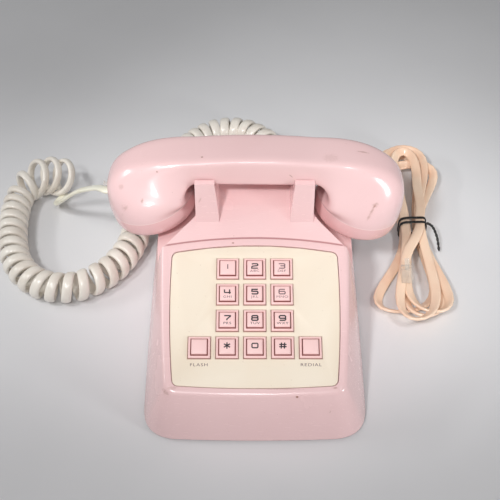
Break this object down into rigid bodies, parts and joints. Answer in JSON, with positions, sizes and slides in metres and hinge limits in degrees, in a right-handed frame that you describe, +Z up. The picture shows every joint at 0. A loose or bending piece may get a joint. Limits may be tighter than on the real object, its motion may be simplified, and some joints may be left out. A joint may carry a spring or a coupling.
{
  "type": "push-button desk telephone",
  "caption": "Compact push-button desk telephone with a sloping base, a two-pronged cradle, a corded handset and a hanked line cord.",
  "frame": {"origin": "on the table under the middle of the base, at the middle of its width and depth", "axes": "+X to the right as the user faces the keys, +Y from the front edge to the back, +Z up from the table"},
  "size_m": [0.3342, 0.2949, 0.1139],
  "materials": {
    "pink_plastic": "glossy moulded pink plastic, lightly scuffed",
    "key_plastic": "satin moulded pink plastic",
    "cream_plastic": "satin cream plate",
    "dark_plastic": "matt",
    "white_plastic": "satin",
    "black_rubber": "matt",
    "grey_rubber": "matt silicone",
    "board_green": "lacquered circuit board",
    "steel": "zinc plated",
    "weight_steel": "plain steel",
    "capsule_grey": "satin",
    "clear_plastic": "clear modular plug",
    "ivory_cord": "satin flexible vinyl",
    "peach_cord": "satin flexible vinyl",
    "tie_black": "plastic covered wire"
  },
  "bodies": {
    "base": {"housing": "pink_plastic", "base_plate": "dark_plastic", "rubber_feet": "black_rubber", "case_screws": "steel", "faceplate": "cream_plastic", "key_surround": "pink_plastic", "key_mat": "grey_rubber", "keypad_board": "board_green", "keypad_screws": "steel", "main_board": "board_green", "ringer": "dark_plastic", "hook_spring": "steel", "hook_switch": "dark_plastic", "cord_jack": "dark_plastic", "line_jack": "dark_plastic", "handset_lead": "ivory_cord", "handset_curls": "ivory_cord", "base_lead": "ivory_cord", "base_plug": "clear_plastic", "line_lead_plug": "clear_plastic", "line_lead": "peach_cord", "line_hank": "peach_cord", "line_plug": "clear_plastic", "twist_tie": "tie_black"},
    "handset": {"handset_body": "pink_plastic", "ear_cap": "pink_plastic", "mouth_cap": "pink_plastic", "receiver": "capsule_grey", "transmitter": "capsule_grey", "handset_weight": "weight_steel", "handset_jack": "dark_plastic", "handset_plug": "clear_plastic"},
    "hook": {"hook_bail": "white_plastic"},
    "key_1": {"key_1": "key_plastic"},
    "key_2": {"key_2": "key_plastic"},
    "key_3": {"key_3": "key_plastic"},
    "key_4": {"key_4": "key_plastic"},
    "key_5": {"key_5": "key_plastic"},
    "key_6": {"key_6": "key_plastic"},
    "key_7": {"key_7": "key_plastic"},
    "key_8": {"key_8": "key_plastic"},
    "key_9": {"key_9": "key_plastic"},
    "key_star": {"key_star": "key_plastic"},
    "key_0": {"key_0": "key_plastic"},
    "key_hash": {"key_hash": "key_plastic"},
    "key_flash": {"key_flash": "key_plastic"},
    "key_redial": {"key_redial": "key_plastic"}
  },
  "joints": [
    {"name": "handset_lift", "type": "slide", "parent": "base", "child": "handset", "axis": [0, 0, 1], "range_m": [0, 0.045]},
    {"name": "hook_rise", "type": "slide", "parent": "base", "child": "hook", "axis": [0, 0, 1], "range_m": [0, 0.0045], "stiffness_N_per_m": 100, "springref_m": 0.012, "deforming": ["hook_spring"]},
    {"name": "press_1", "type": "slide", "parent": "base", "child": "key_1", "axis": [0, 0.342, -0.9397], "range_m": [0, 0.0015], "stiffness_N_per_m": 400, "springref_m": -0.001},
    {"name": "press_2", "type": "slide", "parent": "base", "child": "key_2", "axis": [0, 0.342, -0.9397], "range_m": [0, 0.0015], "stiffness_N_per_m": 400, "springref_m": -0.001},
    {"name": "press_3", "type": "slide", "parent": "base", "child": "key_3", "axis": [0, 0.342, -0.9397], "range_m": [0, 0.0015], "stiffness_N_per_m": 400, "springref_m": -0.001},
    {"name": "press_4", "type": "slide", "parent": "base", "child": "key_4", "axis": [0, 0.342, -0.9397], "range_m": [0, 0.0015], "stiffness_N_per_m": 400, "springref_m": -0.001},
    {"name": "press_5", "type": "slide", "parent": "base", "child": "key_5", "axis": [0, 0.342, -0.9397], "range_m": [0, 0.0015], "stiffness_N_per_m": 400, "springref_m": -0.001},
    {"name": "press_6", "type": "slide", "parent": "base", "child": "key_6", "axis": [0, 0.342, -0.9397], "range_m": [0, 0.0015], "stiffness_N_per_m": 400, "springref_m": -0.001},
    {"name": "press_7", "type": "slide", "parent": "base", "child": "key_7", "axis": [0, 0.342, -0.9397], "range_m": [0, 0.0015], "stiffness_N_per_m": 400, "springref_m": -0.001},
    {"name": "press_8", "type": "slide", "parent": "base", "child": "key_8", "axis": [0, 0.342, -0.9397], "range_m": [0, 0.0015], "stiffness_N_per_m": 400, "springref_m": -0.001},
    {"name": "press_9", "type": "slide", "parent": "base", "child": "key_9", "axis": [0, 0.342, -0.9397], "range_m": [0, 0.0015], "stiffness_N_per_m": 400, "springref_m": -0.001},
    {"name": "press_star", "type": "slide", "parent": "base", "child": "key_star", "axis": [0, 0.342, -0.9397], "range_m": [0, 0.0015], "stiffness_N_per_m": 400, "springref_m": -0.001},
    {"name": "press_0", "type": "slide", "parent": "base", "child": "key_0", "axis": [0, 0.342, -0.9397], "range_m": [0, 0.0015], "stiffness_N_per_m": 400, "springref_m": -0.001},
    {"name": "press_hash", "type": "slide", "parent": "base", "child": "key_hash", "axis": [0, 0.342, -0.9397], "range_m": [0, 0.0015], "stiffness_N_per_m": 400, "springref_m": -0.001},
    {"name": "press_flash", "type": "slide", "parent": "base", "child": "key_flash", "axis": [0, 0.342, -0.9397], "range_m": [0, 0.0015], "stiffness_N_per_m": 400, "springref_m": -0.001},
    {"name": "press_redial", "type": "slide", "parent": "base", "child": "key_redial", "axis": [0, 0.342, -0.9397], "range_m": [0, 0.0015], "stiffness_N_per_m": 400, "springref_m": -0.001}
  ],
  "couplings": [
    {"joint": "hook_rise", "follows": "handset_lift", "ratio": 0.1}
  ]
}
